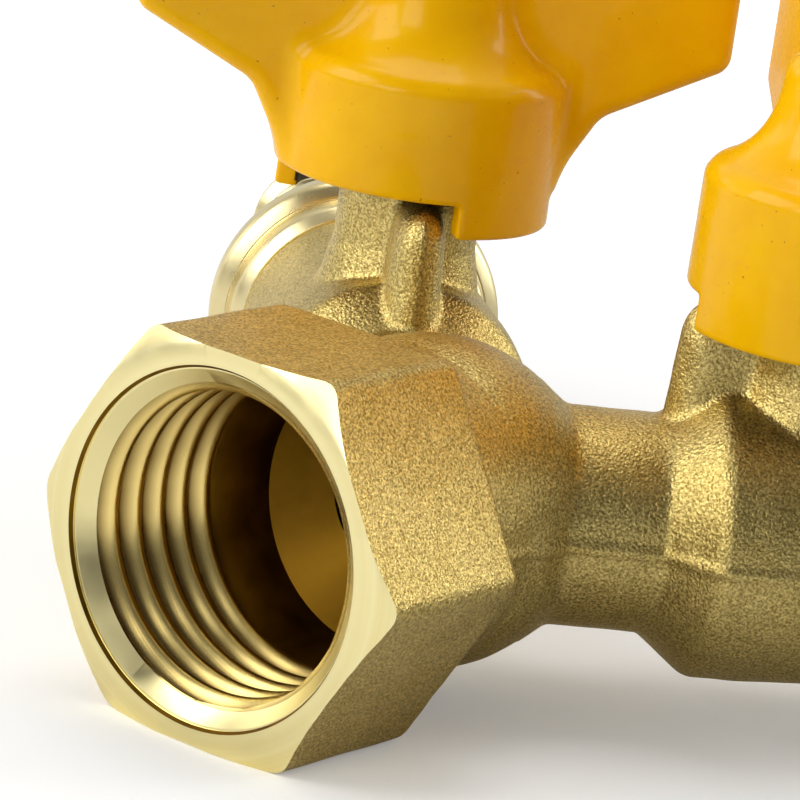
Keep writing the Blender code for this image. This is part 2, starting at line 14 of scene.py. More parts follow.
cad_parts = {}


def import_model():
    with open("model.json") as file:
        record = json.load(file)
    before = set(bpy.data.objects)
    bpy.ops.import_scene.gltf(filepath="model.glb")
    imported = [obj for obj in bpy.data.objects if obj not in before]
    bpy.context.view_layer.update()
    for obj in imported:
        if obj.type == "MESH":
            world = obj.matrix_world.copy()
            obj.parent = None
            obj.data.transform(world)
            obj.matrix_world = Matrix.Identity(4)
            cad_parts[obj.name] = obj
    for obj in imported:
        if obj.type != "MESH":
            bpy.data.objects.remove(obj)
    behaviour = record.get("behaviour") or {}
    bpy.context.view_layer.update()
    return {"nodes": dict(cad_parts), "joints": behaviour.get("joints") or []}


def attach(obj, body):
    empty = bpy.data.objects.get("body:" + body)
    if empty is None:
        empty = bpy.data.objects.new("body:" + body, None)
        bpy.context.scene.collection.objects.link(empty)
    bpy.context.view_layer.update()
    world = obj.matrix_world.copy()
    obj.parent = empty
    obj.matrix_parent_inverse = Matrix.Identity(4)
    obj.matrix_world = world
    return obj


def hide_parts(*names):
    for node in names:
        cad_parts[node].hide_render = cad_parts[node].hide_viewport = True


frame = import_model()

MM = 0.001
SIDES = {"left": 1, "right": -1}
BRANCH_ANGLE = radians(45)

# Sizes below are in millimetres.
HALF_FLATS = 12.5
CORNER_RADIUS = 2 * HALF_FLATS / sqrt(3)
INLET_FACE = 21.4
HEX_LENGTH = 13.1
CHAMFER_SETBACK = 1.0
CHAMFER_SLOPE = tan(radians(30))
MOUTH_RADIUS = 11.2
MOUTH_LINE = 0.35                  # depth of the fine tool line where the lead-in cone starts
LEAD_IN_RADIUS = 10.2              # where the cone meets the thread
MOUTH_DEPTH = 1.25                 # from the face to the thread
THREAD_CREST = 9.65
THREAD_ROOT = 10.5
THREAD_PITCH = 2.19
THREAD_PHASE = 0.45
UNDERCUT_RADIUS = 10.2
THREAD_END = 12.8
THREAD_RUN_OUT = 0.35              # from the last full turn to the thread's end
THREAD_CUT_SLOPE = 1.6             # of the cones that cut the first and the last turn short
BORE_RADIUS = 9.2
BORE_END = 4.5
DRILL_HALF_ANGLE = radians(59)
JUNCTION_RADIUS = 10.9
ROOT_RADIUS = JUNCTION_RADIUS - 0.3    # of the round root behind the hexagon
ROOT_LENGTH = 14
PIPE_RADIUS = 7.18
PIPE_START = 8.6
CONE_ANGLE = radians(38)
BRANCH_BORE = 4.75
BORE_MOUTH = BRANCH_BORE + 0.8     # where a branch's bore leaves the inlet
BORE_MOUTH_DEPTH = 7
PIPE_END = -9.7
BARREL_RADIUS = 9.75
BARREL_TAPER = -3.5
BARREL_END = 15.8
BARREL_END_RADIUS = 8.75
NECK_RADIUS = 4.92
NECK_TOP = 19.0
NECK_FLARE = 0.2                   # widening per height towards the barrel
NECK_FLARE_TOP = 11.3
POST_HALF_WIDTH = 1.7
POST_REACH = 9.5
POST_TOP = 15.5
POST_SIDE_DRAFT = 0.02
POST_FRONT_DRAFT = 0.06
RIDGE_HEIGHT = 0.24                # parting ridge round the forging
RIDGE_WIDTH = 0.34
WAVINESS = 0.035
BALL_RADIUS = 7.0
BALL_BORE = 4.5
CHAMBER_RADIUS = 7.3
CHAMBER_HALF_LENGTH = 7.8
SOCKET_RADIUS = 7.8
PLUG_RADIUS = 7.5
PLUG_START = 8.1
STEM_BORE = 3.4
SHOULDER_BORE = 4.1
SHOULDER_TOP = 10.1
COLLAR_RADIUS = 10.65
COLLAR_END = 21.8
COLLAR_LIP_START = 18.75           # where the smaller step of the collar ends
COLLAR_STEP_RADIUS = 9.6
COLLAR_STEP_START = 17.0
RING_GROOVE_RADIUS = 6.0
RING_GROOVE_START = 9.6
RING_GROOVE_END = 11.4
NOZZLE_NECK = 4.9
NOZZLE_BORE = 3.0
NOZZLE_END = 51.0
NOZZLE_TIP = 4.0
NOZZLE_CHAMFER = 0.8
BARB_COUNT = 5
BARB_PITCH = 4.4
BARB_CREST = 5.3
BARB_ROOT = 4.3
LIP_BOTTOM = 13.7
SKIRT_BOTTOM = 16.0
SKIRT_RADIUS = 9.5
SKIRT_INNER = 7.9
SKIRT_CEILING = 21.5
LEDGE_HEIGHT = 23.7
HUB_RADIUS = 5.3
HUB_TOP = 32.0
HUB_FLARE = 7.0                    # width of the blend between the hub and the ledge
HUB_FOOT = 20.0                    # inside the skirt
SKIRT_DRAFT = 0.012
RECESS_RADIUS = 4.0
RECESS_FLOOR = 30.0
SOCKET_HALF_SIDE = 2.4
WINDOW_START = radians(166.9)
WINDOW_END = radians(283.1)
WING_HALF_THICKNESS = 2.2
WASHER_BOTTOM = 30.3
WASHER_THICKNESS = 0.7
WASHER_RADIUS = 3.7
WASHER_HOLE = 1.8
SCREW_BOTTOM = 22.0
SCREW_HEAD_BOTTOM = 31.3
SCREW_RADIUS = 1.5
SCREW_CORE = 1.2
SCREW_PITCH = 0.6
SCREW_TURNS = 14
SCREW_HEAD_RADIUS = 3.0
CROSS_LENGTH = 3.4
CROSS_WIDTH = 0.8
CROSS_DEPTH = 2.4

# Widths of the blends between the forging's parts, and of its rounded edges.
HEX_EDGE = 0.8
BARREL_EDGE = 0.4
BARREL_END_EDGE = 0.6
NECK_EDGE = 0.5
POST_FRONT_EDGE = 2.6
POST_SIDE_EDGE = 2.4
PIPE_TO_BARREL = 0.25
NECK_TO_POST = 0.6
UPRIGHT_TO_BARREL = 0.45
BRANCH_TO_BRANCH = 0.8
CORE_TO_HEXAGON = 1.0
CORE_TO_BRANCH = 0.3

# The same for a handle.
LEDGE_EDGE = 0.5
LIP_EDGE = 0.35
HUB_EDGE = 2.0
FLARE_EDGE = 1.0
FLARE_INSET = 0.1
WING_EDGE = 1.3
WING_FILLET = 1.3
CAVITY_EDGE = 0.5
SOCKET_EDGE = 0.4
HOLLOW_EDGE = 0.35

BODY_VOXEL = 0.25
HANDLE_VOXEL = 0.2

OWN_PLACE = "own_place"
FORGED, MACHINED, BORED, THREADED = range(4)

CAMERA_LENS = 208.6
CAMERA_YAW = 0.6369
CAMERA_PITCH = 0.2665
CAMERA_ROLL = 0.1404
CAMERA_PLACE = (168.83, -232.2442, 84.8158)    # from the junction
LIGHTS_AIM = Vector((0, 0, 0.02))              # in metres


# ---------------------------------------------------------------- places

def left_axis():
    """Where the left stem's axis crosses its branch's axis, in metres."""
    for joint in frame["joints"]:
        if joint["name"] == "left_handle_turn":
            return joint["pos_m"]
    raise RuntimeError("the frame has no left_handle_turn joint")


AXIS_X, AXIS_Y, AXIS_Z = left_axis()
VALVE_DISTANCE = abs(AXIS_X) * sqrt(2) / MM
JUNCTION = Vector((0, AXIS_Y - abs(AXIS_X), AXIS_Z))


def valve_turn(side):
    """A valve's own frame, in millimetres from the junction."""
    turn = SIDES[side] * BRANCH_ANGLE
    centre = Vector((-sin(turn) * VALVE_DISTANCE, cos(turn) * VALVE_DISTANCE, 0))
    return Matrix.Translation(centre) @ Matrix.Rotation(turn, 4, "Z")


def valve_place(side):
    """A valve's own frame, in metres in the row frame."""
    matrix = valve_turn(side)
    return Matrix.Translation(JUNCTION + matrix.translation * MM) @ matrix.to_3x3().to_4x4()


JUNCTION_PLACE = Matrix.Translation(JUNCTION)
ALONG_Y = Matrix.Rotation(-pi / 2, 4, "X")


# ---------------------------------------------------------------- mesh tools

def new_object(name, mesh):
    piece = bpy.data.objects.new(name, mesh)
    bpy.context.scene.collection.objects.link(piece)
    return piece


def solid(name, points, faces, turn=None):
    """A closed mesh in millimetres, its normals outwards."""
    mesh = bpy.data.meshes.new(name)
    mesh.from_pydata([tuple(point) for point in points], [], faces)
    if turn is not None:
        mesh.transform(turn)
    shape = bmesh.new()
    shape.from_mesh(mesh)
    bmesh.ops.recalc_face_normals(shape, faces=shape.faces)
    shape.to_mesh(mesh)
    shape.free()
    return new_object(name, mesh)


def lathe(name, profile, steps, turn=None, loop=False):
    """Turn a (radius, height) profile about local Z. A radius may be an array over the angles.

    A loop closes on itself. Any other profile starts and ends on the axis."""
    angles = np.arange(steps) * 2 * pi / steps
    rows = profile if loop else profile[1:-1]
    points = []
    for radius, height in rows:
        radii = np.broadcast_to(radius, steps)
        points += list(zip(radii * np.cos(angles), radii * np.sin(angles), np.full(steps, height)))
    faces = []
    for row in range(len(rows) if loop else len(rows) - 1):
        low = row * steps
        high = (row + 1) % len(rows) * steps
        for i in range(steps):
            j = (i + 1) % steps
            faces.append((low + i, low + j, high + j, high + i))
    if not loop:
        for end, row in ((profile[0], 0), (profile[-1], len(rows) - 1)):
            pole = len(points)
            points.append((0, 0, end[1]))
            for i in range(steps):
                faces.append((row * steps + i, row * steps + (i + 1) % steps, pole))
    return solid(name, points, faces, turn)


def box(name, size, centre):
    half_x, half_y, half_z = (s / 2 for s in size)
    points = []
    for x, y, z in ((-1, -1, -1), (1, -1, -1), (1, 1, -1), (-1, 1, -1),
                    (-1, -1, 1), (1, -1, 1), (1, 1, 1), (-1, 1, 1)):
        points.append((centre[0] + x * half_x, centre[1] + y * half_y, centre[2] + z * half_z))
    faces = [(0, 3, 2, 1), (4, 5, 6, 7), (0, 1, 5, 4), (1, 2, 6, 5), (2, 3, 7, 6), (3, 0, 4, 7)]
    return solid(name, points, faces)


def rounded(corners, count=6):
    """Points of a polygon whose corners, given as (x, y, radius), are rounded by arcs."""
    points = []
    for i, (x, y, radius) in enumerate(corners):
        if radius == 0:
            points.append((x, y))
            continue
        before = corners[i - 1]
        after = corners[(i + 1) % len(corners)]
        to_before = atan2(before[1] - y, before[0] - x)
        to_after = atan2(after[1] - y, after[0] - x)
        half = ((to_after - to_before + pi) % (2 * pi) - pi) / 2
        middle = to_before + half
        depth = radius / abs(sin(half))
        centre_x = x + depth * cos(middle)
        centre_y = y + depth * sin(middle)
        sweep = pi / 2 - abs(half)
        turn = -1 if half > 0 else 1
        for step in range(count + 1):
            angle = middle + pi - turn * sweep * (1 - 2 * step / count)
            points.append((centre_x + radius * cos(angle), centre_y + radius * sin(angle)))
    return points


def evaluated(piece):
    """Replace a piece's mesh by the result of its modifiers."""
    depsgraph = bpy.context.evaluated_depsgraph_get()
    mesh = bpy.data.meshes.new_from_object(piece.evaluated_get(depsgraph))
    piece.modifiers.clear()
    piece.data = mesh


def carve(piece, operation, others):
    """Join, cut or intersect with other solids, which are used up."""
    for other in others:
        modifier = piece.modifiers.new("Carve", "BOOLEAN")
        modifier.operation = operation
        modifier.solver = "MANIFOLD"
        modifier.object = other
    evaluated(piece)
    for other in others:
        bpy.data.objects.remove(other)


def remesh(piece, voxel):
    modifier = piece.modifiers.new("Voxels", "REMESH")
    modifier.mode = "VOXEL"
    modifier.voxel_size = voxel
    evaluated(piece)


def joined(name, pieces):
    """Several closed meshes as one object, without welding them."""
    shape = bmesh.new()
    for piece in pieces:
        shape.from_mesh(piece.data)
        bpy.data.objects.remove(piece)
    mesh = bpy.data.meshes.new(name)
    shape.to_mesh(mesh)
    shape.free()
    return new_object(name, mesh)


def finish_piece(piece, place, sharp=radians(30)):
    """From millimetres in its own frame to metres in the row frame, smooth except at sharp edges.

    Each point keeps its place in its own frame, where the materials draw their grain and tool marks."""
    mesh = piece.data
    mesh.transform(Matrix.Scale(MM, 4))
    own = np.empty(len(mesh.vertices) * 3, np.float32)
    mesh.vertices.foreach_get("co", own)
    mesh.attributes.new(OWN_PLACE, "FLOAT_VECTOR", "POINT").data.foreach_set("vector", own)
    mesh.shade_smooth()
    mesh.set_sharp_from_angle(angle=sharp)
    mesh.transform(place)
    return piece


def ride_as(piece, body, node):
    """The piece moves with a body and stands for one CAD node, which it hides."""
    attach(piece, body)
    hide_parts(node)


# ---------------------------------------------------------------- distance fields

def soft_min(a, b, width):
    """The lower of two distances, blended where they are nearly the same: a union with a fillet."""
    share = np.clip(0.5 + 0.5 * (b - a) / width, 0, 1)
    return b * (1 - share) + a * share - width * share * (1 - share)


def soft_max(a, b, width):
    """An intersection whose edge is rounded."""
    return -soft_min(-a, -b, width)


def outline_distance(across, up, outline):
    """Signed distance to a polygon, negative inside."""
    nearest = np.full(len(across), 1e9)
    inside = np.zeros(len(across), bool)
    for (x0, y0), (x1, y1) in zip(outline, outline[1:] + outline[:1]):
        run = x1 - x0
        rise = y1 - y0
        from_x = across - x0
        from_y = up - y0
        share = np.clip((from_x * run + from_y * rise) / (run * run + rise * rise), 0, 1)
        nearest = np.minimum(nearest, (from_x - share * run) ** 2 + (from_y - share * rise) ** 2)
        if rise != 0:
            crosses = ((y0 > up) != (y1 > up)) & (from_x < run * from_y / rise)
            inside ^= crosses
    return np.where(inside, -1, 1) * np.sqrt(nearest)


def settle(piece, distance, rounds):
    """Relax a remeshed surface and pull its points on to the zero of a distance field."""
    step = 0.02
    furthest = 0.4
    least_slope = 0.25
    mesh = piece.data
    count = len(mesh.vertices)
    points = np.empty(count * 3)
    mesh.vertices.foreach_get("co", points)
    points = points.reshape(-1, 3)
    ends = np.empty(len(mesh.edges) * 2, int)
    mesh.edges.foreach_get("vertices", ends)
    first, second = ends[0::2], ends[1::2]
    neighbours = np.bincount(ends, minlength=count)
    for turn in range(rounds):
        if turn < rounds - 1:
            for axis in range(3):
                total = np.bincount(first, points[second, axis], count)
                total += np.bincount(second, points[first, axis], count)
                points[:, axis] = 0.5 * points[:, axis] + 0.5 * total / neighbours
        value = distance(points)
        slope = np.empty_like(points)
        for axis in range(3):
            shifted = points.copy()
            shifted[:, axis] += step
            slope[:, axis] = (distance(shifted) - value) / step
        length = np.maximum((slope ** 2).sum(1), least_slope)
        pull = np.clip(value / length, -furthest, furthest)
        points -= slope * pull[:, None]
    mesh.vertices.foreach_set("co", points.ravel())
    mesh.update()


# ---------------------------------------------------------------- forged body

def hexagon_distance(x, y, z):
    """The inlet's hexagon before machining: rounded edges, and a rounded back."""
    tilted = cos(pi / 6)
    prism = soft_max(np.abs(z), np.abs(x * tilted + z * 0.5), HEX_EDGE)
    prism = soft_max(prism, np.abs(x * tilted - z * 0.5), HEX_EDGE) - HALF_FLATS
    prism = soft_max(prism, y + INLET_FACE - HEX_LENGTH, HEX_EDGE)
    return np.maximum(prism, -y - INLET_FACE - 1)


def swell_distance(along, radius):
    """The cone by which the junction narrows to a branch's pipe. It leaves the sphere along a tangent."""
    slope = (radius - PIPE_RADIUS) * cos(CONE_ANGLE) + (along - PIPE_START) * sin(CONE_ANGLE)
    return np.maximum(slope, JUNCTION_RADIUS * sin(CONE_ANGLE) - along)


def branch_distance(along, across, z):
    """One branch past the junction: pipe, barrel, neck and stop post."""
    local = along - VALVE_DISTANCE
    radius = np.hypot(across, z)
    pipe = np.maximum(radius - PIPE_RADIUS, np.maximum(-along, local + 5))
    taper = (BARREL_RADIUS - BARREL_END_RADIUS) / (BARREL_END - BARREL_TAPER)
    barrel = np.maximum(radius - BARREL_RADIUS, radius - BARREL_RADIUS + (local - BARREL_TAPER) * taper)
    swell = (radius - PIPE_RADIUS) * cos(CONE_ANGLE) - (local - PIPE_END) * sin(CONE_ANGLE)
    barrel = soft_max(barrel, swell, BARREL_EDGE)
    barrel = soft_max(barrel, local - BARREL_END, BARREL_END_EDGE)
    branch = soft_min(pipe, barrel, PIPE_TO_BARREL)
    flare = np.clip(NECK_FLARE_TOP - z, 0, 4) * NECK_FLARE
    neck = soft_max(np.hypot(across, local) - NECK_RADIUS - flare, z - NECK_TOP, NECK_EDGE)
    neck = np.maximum(neck, -z)
    front = -local - POST_REACH - (POST_TOP - 2 - z) * POST_FRONT_DRAFT
    side = np.abs(across) - POST_HALF_WIDTH - (POST_TOP - z) * POST_SIDE_DRAFT
    post = soft_max(soft_max(front, z - POST_TOP, POST_FRONT_EDGE), side, POST_SIDE_EDGE)
    post = np.maximum(np.maximum(post, local + 1), -z)
    upright = soft_min(neck, post, NECK_TO_POST)
    return soft_min(branch, upright, UPRIGHT_TO_BARREL)


def forging_distance(points):
    """The whole forging before machining, with its parting ridge and slight unevenness."""
    x, y, z = points.T
    core = np.sqrt(x * x + y * y + z * z) - JUNCTION_RADIUS
    root = np.maximum(np.hypot(x, z) - ROOT_RADIUS, np.maximum(y, -ROOT_LENGTH - y))
    core = np.minimum(core, root)
    whole = None
    for sign in SIDES.values():
        turn = sign * BRANCH_ANGLE
        along = -x * sin(turn) + y * cos(turn)
        across = x * cos(turn) + y * sin(turn)
        core = np.minimum(core, swell_distance(along, np.hypot(across, z)))
        branch = branch_distance(along, across, z)
        whole = branch if whole is None else soft_min(whole, branch, BRANCH_TO_BRANCH)
    core = soft_min(core, hexagon_distance(x, y, z), CORE_TO_HEXAGON)
    whole = soft_min(core, whole, CORE_TO_BRANCH)
    behind_hexagon = np.clip((y + INLET_FACE - HEX_LENGTH) / 2, 0, 1)
    ridge = RIDGE_HEIGHT * np.exp(-(z / RIDGE_WIDTH) ** 2) * behind_hexagon
    waviness = np.sin(1.3 * x + 0.4 * z) * np.sin(0.9 * y - 0.7 * z) * np.sin(1.1 * z + 0.5 * x)
    return whole - ridge - WAVINESS * waviness


def forging_blank():
    """Rough solids a little inside and outside the forging, merged into one skin of even quads."""
    solids = []
    hexagon = [(0, -INLET_FACE - 1), (CORNER_RADIUS, -INLET_FACE - 1),
               (CORNER_RADIUS, HEX_LENGTH - INLET_FACE), (0, HEX_LENGTH - INLET_FACE)]
    solids.append(lathe("hexagon", hexagon, 6, ALONG_Y))
    root = [(0, -ROOT_LENGTH), (ROOT_RADIUS, -ROOT_LENGTH), (ROOT_RADIUS, 0), (0, 0)]
    solids.append(lathe("root", root, 48, ALONG_Y))
    half_turn = [radians(a) for a in range(-90, 91, 6)]
    sphere = [(JUNCTION_RADIUS * cos(a), JUNCTION_RADIUS * sin(a)) for a in half_turn]
    sphere[0] = (0, -JUNCTION_RADIUS)
    sphere[-1] = (0, JUNCTION_RADIUS)
    solids.append(lathe("sphere", sphere, 48))
    swell_end = PIPE_END + (BARREL_RADIUS - PIPE_RADIUS) / tan(CONE_ANGLE)
    branch = [(0, -VALVE_DISTANCE), (PIPE_RADIUS, -VALVE_DISTANCE), (PIPE_RADIUS, PIPE_END),
              (BARREL_RADIUS, swell_end), (BARREL_RADIUS, BARREL_TAPER),
              (BARREL_END_RADIUS, BARREL_END), (0, BARREL_END)]
    neck = [(0, 0), (NECK_RADIUS, 0), (NECK_RADIUS, NECK_TOP), (0, NECK_TOP)]
    for side in SIDES:
        turn = valve_turn(side)
        solids.append(lathe("branch", branch, 48, turn @ ALONG_Y))
        solids.append(lathe("neck", neck, 48, turn))
        post = box("post", (2 * POST_HALF_WIDTH + 0.2, POST_REACH, POST_TOP - 0.3),
                   (0, -POST_REACH / 2, POST_TOP / 2))
        post.data.transform(turn)
        solids.append(post)
    return joined("body_skin", solids)


def thread_rows(steps, count):
    """Rows of the inlet's hollow, as (radius over the angles, distance from the junction).

    The thread itself takes this many rows, each a little deeper than the last."""
    turns = np.arange(steps) / steps
    start = -INLET_FACE + MOUTH_DEPTH
    end = -INLET_FACE + THREAD_END - THREAD_RUN_OUT
    line = -INLET_FACE + MOUTH_LINE
    rows = [(0, -INLET_FACE - 0.5), (MOUTH_RADIUS + 0.6, -INLET_FACE - 0.5),
            (MOUTH_RADIUS + 0.05, line - 0.12), (MOUTH_RADIUS + 0.08, line),
            (MOUTH_RADIUS - 0.06, line + 0.02), (LEAD_IN_RADIUS, start)]
    for i in range(1, count + 1):
        depth = start + (end - start) * i / count
        phase = (depth - start) / THREAD_PITCH + turns + THREAD_PHASE
        swing = np.abs((phase % 1) * 2 - 1)
        tooth = np.clip((swing - 0.12) / 0.8, 0, 1)
        tooth = tooth * tooth * (3 - 2 * tooth) * 0.5 + tooth * 0.5
        groove = THREAD_CREST + (THREAD_ROOT - THREAD_CREST) * tooth
        lead_in = LEAD_IN_RADIUS - (depth - start) * THREAD_CUT_SLOPE
        run_out = UNDERCUT_RADIUS - (end - depth) * THREAD_CUT_SLOPE
        rows.append((np.maximum(groove, max(lead_in, run_out)), depth))
    rows.append((UNDERCUT_RADIUS, end + 0.2))
    rows.append((BORE_RADIUS, end + 2.2))
    rows.append((BORE_RADIUS, -BORE_END))
    rows.append((0.4, -BORE_END + (BORE_RADIUS - 0.4) / tan(DRILL_HALF_ANGLE)))
    rows.append((0, -BORE_END + (BORE_RADIUS - 0.2) / tan(DRILL_HALF_ANGLE)))
    return rows


def body_hollows():
    """Cutters for the inlet and its thread, the two ball chambers and the two stem holes."""
    steps = 240
    cutters = [lathe("inlet", thread_rows(steps, count=190), steps, ALONG_Y)]
    start = PLUG_START - 0.3
    chamber = [(0, -VALVE_DISTANCE + 1), (BORE_MOUTH, -VALVE_DISTANCE + 1),
               (BORE_MOUTH, BORE_MOUTH_DEPTH - VALVE_DISTANCE),
               (BRANCH_BORE, BORE_MOUTH_DEPTH + 1 - VALVE_DISTANCE), (BRANCH_BORE, -CHAMBER_HALF_LENGTH),
               (CHAMBER_RADIUS, -CHAMBER_HALF_LENGTH), (CHAMBER_RADIUS, start), (SOCKET_RADIUS, start),
               (SOCKET_RADIUS, BARREL_END - 0.4), (SOCKET_RADIUS + 1.4, BARREL_END + 1),
               (0, BARREL_END + 1)]
    stem_hole = [(0, 0), (SHOULDER_BORE, 0), (SHOULDER_BORE, SHOULDER_TOP), (STEM_BORE, SHOULDER_TOP),
                 (STEM_BORE, NECK_TOP - 0.5), (STEM_BORE + 1.5, NECK_TOP + 1), (0, NECK_TOP + 1)]
    for side in SIDES:
        turn = valve_turn(side)
        cutters.append(lathe("chamber", chamber, 72, turn @ ALONG_Y))
        cutters.append(lathe("stem_hole", stem_hole, 64, turn))
    return cutters


def machining_envelope():
    """What the lathe leaves at the inlet: a flat face and a 30 degree chamfer."""
    face_radius = CORNER_RADIUS - CHAMFER_SETBACK / CHAMFER_SLOPE
    beyond = 3
    back = -12
    reach = 60
    profile = [(0, -INLET_FACE), (face_radius, -INLET_FACE),
               (CORNER_RADIUS + beyond, -INLET_FACE + CHAMFER_SETBACK + beyond * CHAMFER_SLOPE),
               (CORNER_RADIUS + beyond, back), (reach, back), (reach, reach), (0, reach)]
    return lathe("envelope", profile, 240, ALONG_Y)


def face_kinds(mesh):
    """Which finish each face has: forged skin, machined at the inlet, bored or threaded."""
    count = len(mesh.polygons)
    centres = np.empty(count * 3)
    mesh.polygons.foreach_get("center", centres)
    centres = centres.reshape(-1, 3)
    x, y, z = centres.T
    radius = np.hypot(x, z)
    under_skin = -0.12
    kinds = np.where(forging_distance(centres) < under_skin, BORED, FORGED)
    on_face = np.abs(y + INLET_FACE) < 0.01
    chamfer = y + INLET_FACE - CHAMFER_SETBACK - (radius - CORNER_RADIUS) * CHAMFER_SLOPE
    on_chamfer = np.abs(chamfer) < 0.015
    kinds[(y < -INLET_FACE + 4) & (on_face | on_chamfer)] = MACHINED
    mouth = radius < MOUTH_RADIUS + 0.1
    thread_start = -INLET_FACE + MOUTH_DEPTH
    thread_end = -INLET_FACE + THREAD_END - THREAD_RUN_OUT + 0.05
    kinds[mouth & (y < thread_start)] = MACHINED
    kinds[mouth & (y > thread_start) & (y < thread_end)] = THREADED
    return kinds


def build_body(materials):
    """The forging: a blank settled on its true surface, then machined and bored."""
    body = forging_blank()
    remesh(body, BODY_VOXEL)
    settle(body, forging_distance, 6)
    carve(body, "INTERSECT", [machining_envelope()])
    carve(body, "DIFFERENCE", body_hollows())
    body.name = "valve_body_forging"
    kinds = face_kinds(body.data)
    body.data.materials.clear()
    # In the order of FORGED, MACHINED, BORED and THREADED.
    for name in ("forged_brass", "machined_brass", "bored_brass", "threaded_brass"):
        body.data.materials.append(materials[name])
    body.data.polygons.foreach_set("material_index", kinds.astype(int))
    finish_piece(body, JUNCTION_PLACE, radians(34))
    ride_as(body, "valve_body", "body")
    return body


# ---------------------------------------------------------------- handle

# Half of the wings seen from the front, as (distance from the stem's axis, height, rounding).
WING_OUTLINE = rounded([
    (-5, 16.6, 0),
    (9.4, 16.6, 0),
    (12.1, 21.5, 2.5),
    (20.5, 25.8, 1.5),
    (20.5, 40.0, 3.0),
    (8.5, HUB_TOP + 0.4, 6.0),
    (-5, HUB_TOP + 0.4, 0),
])


def handle_distance(points):
    """Skirt, hub and wings run together by fillets, then the skirt's hollow, window, recess and socket."""
    x, y, z = points.T
    radius = np.hypot(x, y)
    skirt_wall = radius - SKIRT_RADIUS + (z - LIP_BOTTOM) * SKIRT_DRAFT
    skirt = soft_max(skirt_wall, z - LEDGE_HEIGHT, LEDGE_EDGE)
    skirt = soft_max(skirt, LIP_BOTTOM - z, LIP_EDGE)
    hub = np.maximum(soft_max(radius - HUB_RADIUS, z - HUB_TOP, HUB_EDGE), HUB_FOOT - z)
    flare = soft_min(np.maximum(z - LEDGE_HEIGHT, HUB_FOOT - z), hub, HUB_FLARE)
    flare = soft_max(flare, radius - SKIRT_RADIUS + FLARE_INSET, FLARE_EDGE)
    turned_part = soft_min(flare, skirt, FLARE_INSET)
    wings = outline_distance(np.abs(x), z, WING_OUTLINE)
    wings = soft_max(wings, np.abs(y) - WING_HALF_THICKNESS, WING_EDGE)
    whole = soft_min(turned_part, wings, WING_FILLET)
    cavity = soft_max(radius - SKIRT_INNER, z - SKIRT_CEILING, CAVITY_EDGE)
    from_start = x * sin(WINDOW_START) - y * cos(WINDOW_START)
    from_end = y * cos(WINDOW_END) - x * sin(WINDOW_END)
    window = soft_max(np.maximum(from_start, from_end), z - SKIRT_BOTTOM, CAVITY_EDGE)
    recess = np.maximum(radius - RECESS_RADIUS, RECESS_FLOOR - z)
    socket = soft_max(np.abs(x), np.abs(y), SOCKET_EDGE) - SOCKET_HALF_SIDE
    for hollow in (cavity, window, recess, socket):
        whole = soft_max(whole, -hollow, HOLLOW_EDGE)
    return whole


def build_handle(side, materials):
    """The CAD handle, remeshed and settled on a surface with the real fillets. Its inside is bare metal,
    darkened by painted shade.
    """
    node = side + "_handle"
    place = valve_place(side)
    mesh = frame["nodes"][node].data.copy()
    mesh.transform(place.inverted())
    mesh.transform(Matrix.Scale(1 / MM, 4))
    shape = bmesh.new()
    shape.from_mesh(mesh)
    bmesh.ops.remove_doubles(shape, verts=shape.verts, dist=0.001)
    shape.to_mesh(mesh)
    shape.free()
    handle = new_object(side + "_butterfly_handle", mesh)
    remesh(handle, HANDLE_VOXEL)
    settle(handle, handle_distance, 7)
    handle.data.materials.clear()
    handle.data.materials.append(materials["enamel"])
    handle.data.materials.append(materials["bare_casting_painted_shade"])
    centres = np.empty(len(handle.data.polygons) * 3)
    handle.data.polygons.foreach_get("center", centres)
    x, y, z = centres.reshape(-1, 3).T
    # Faces inside the skirt take the dark bare material, whose darkness is painted shade.
    inside = (np.hypot(x, y) < SKIRT_INNER + 0.15) & (z < SKIRT_CEILING + 0.2)
    handle.data.polygons.foreach_set("material_index", inside.astype(int))
    finish_piece(handle, place, radians(60))
    ride_as(handle, side + "_rotor", node)
    return handle


# ---------------------------------------------------------------- turned pieces

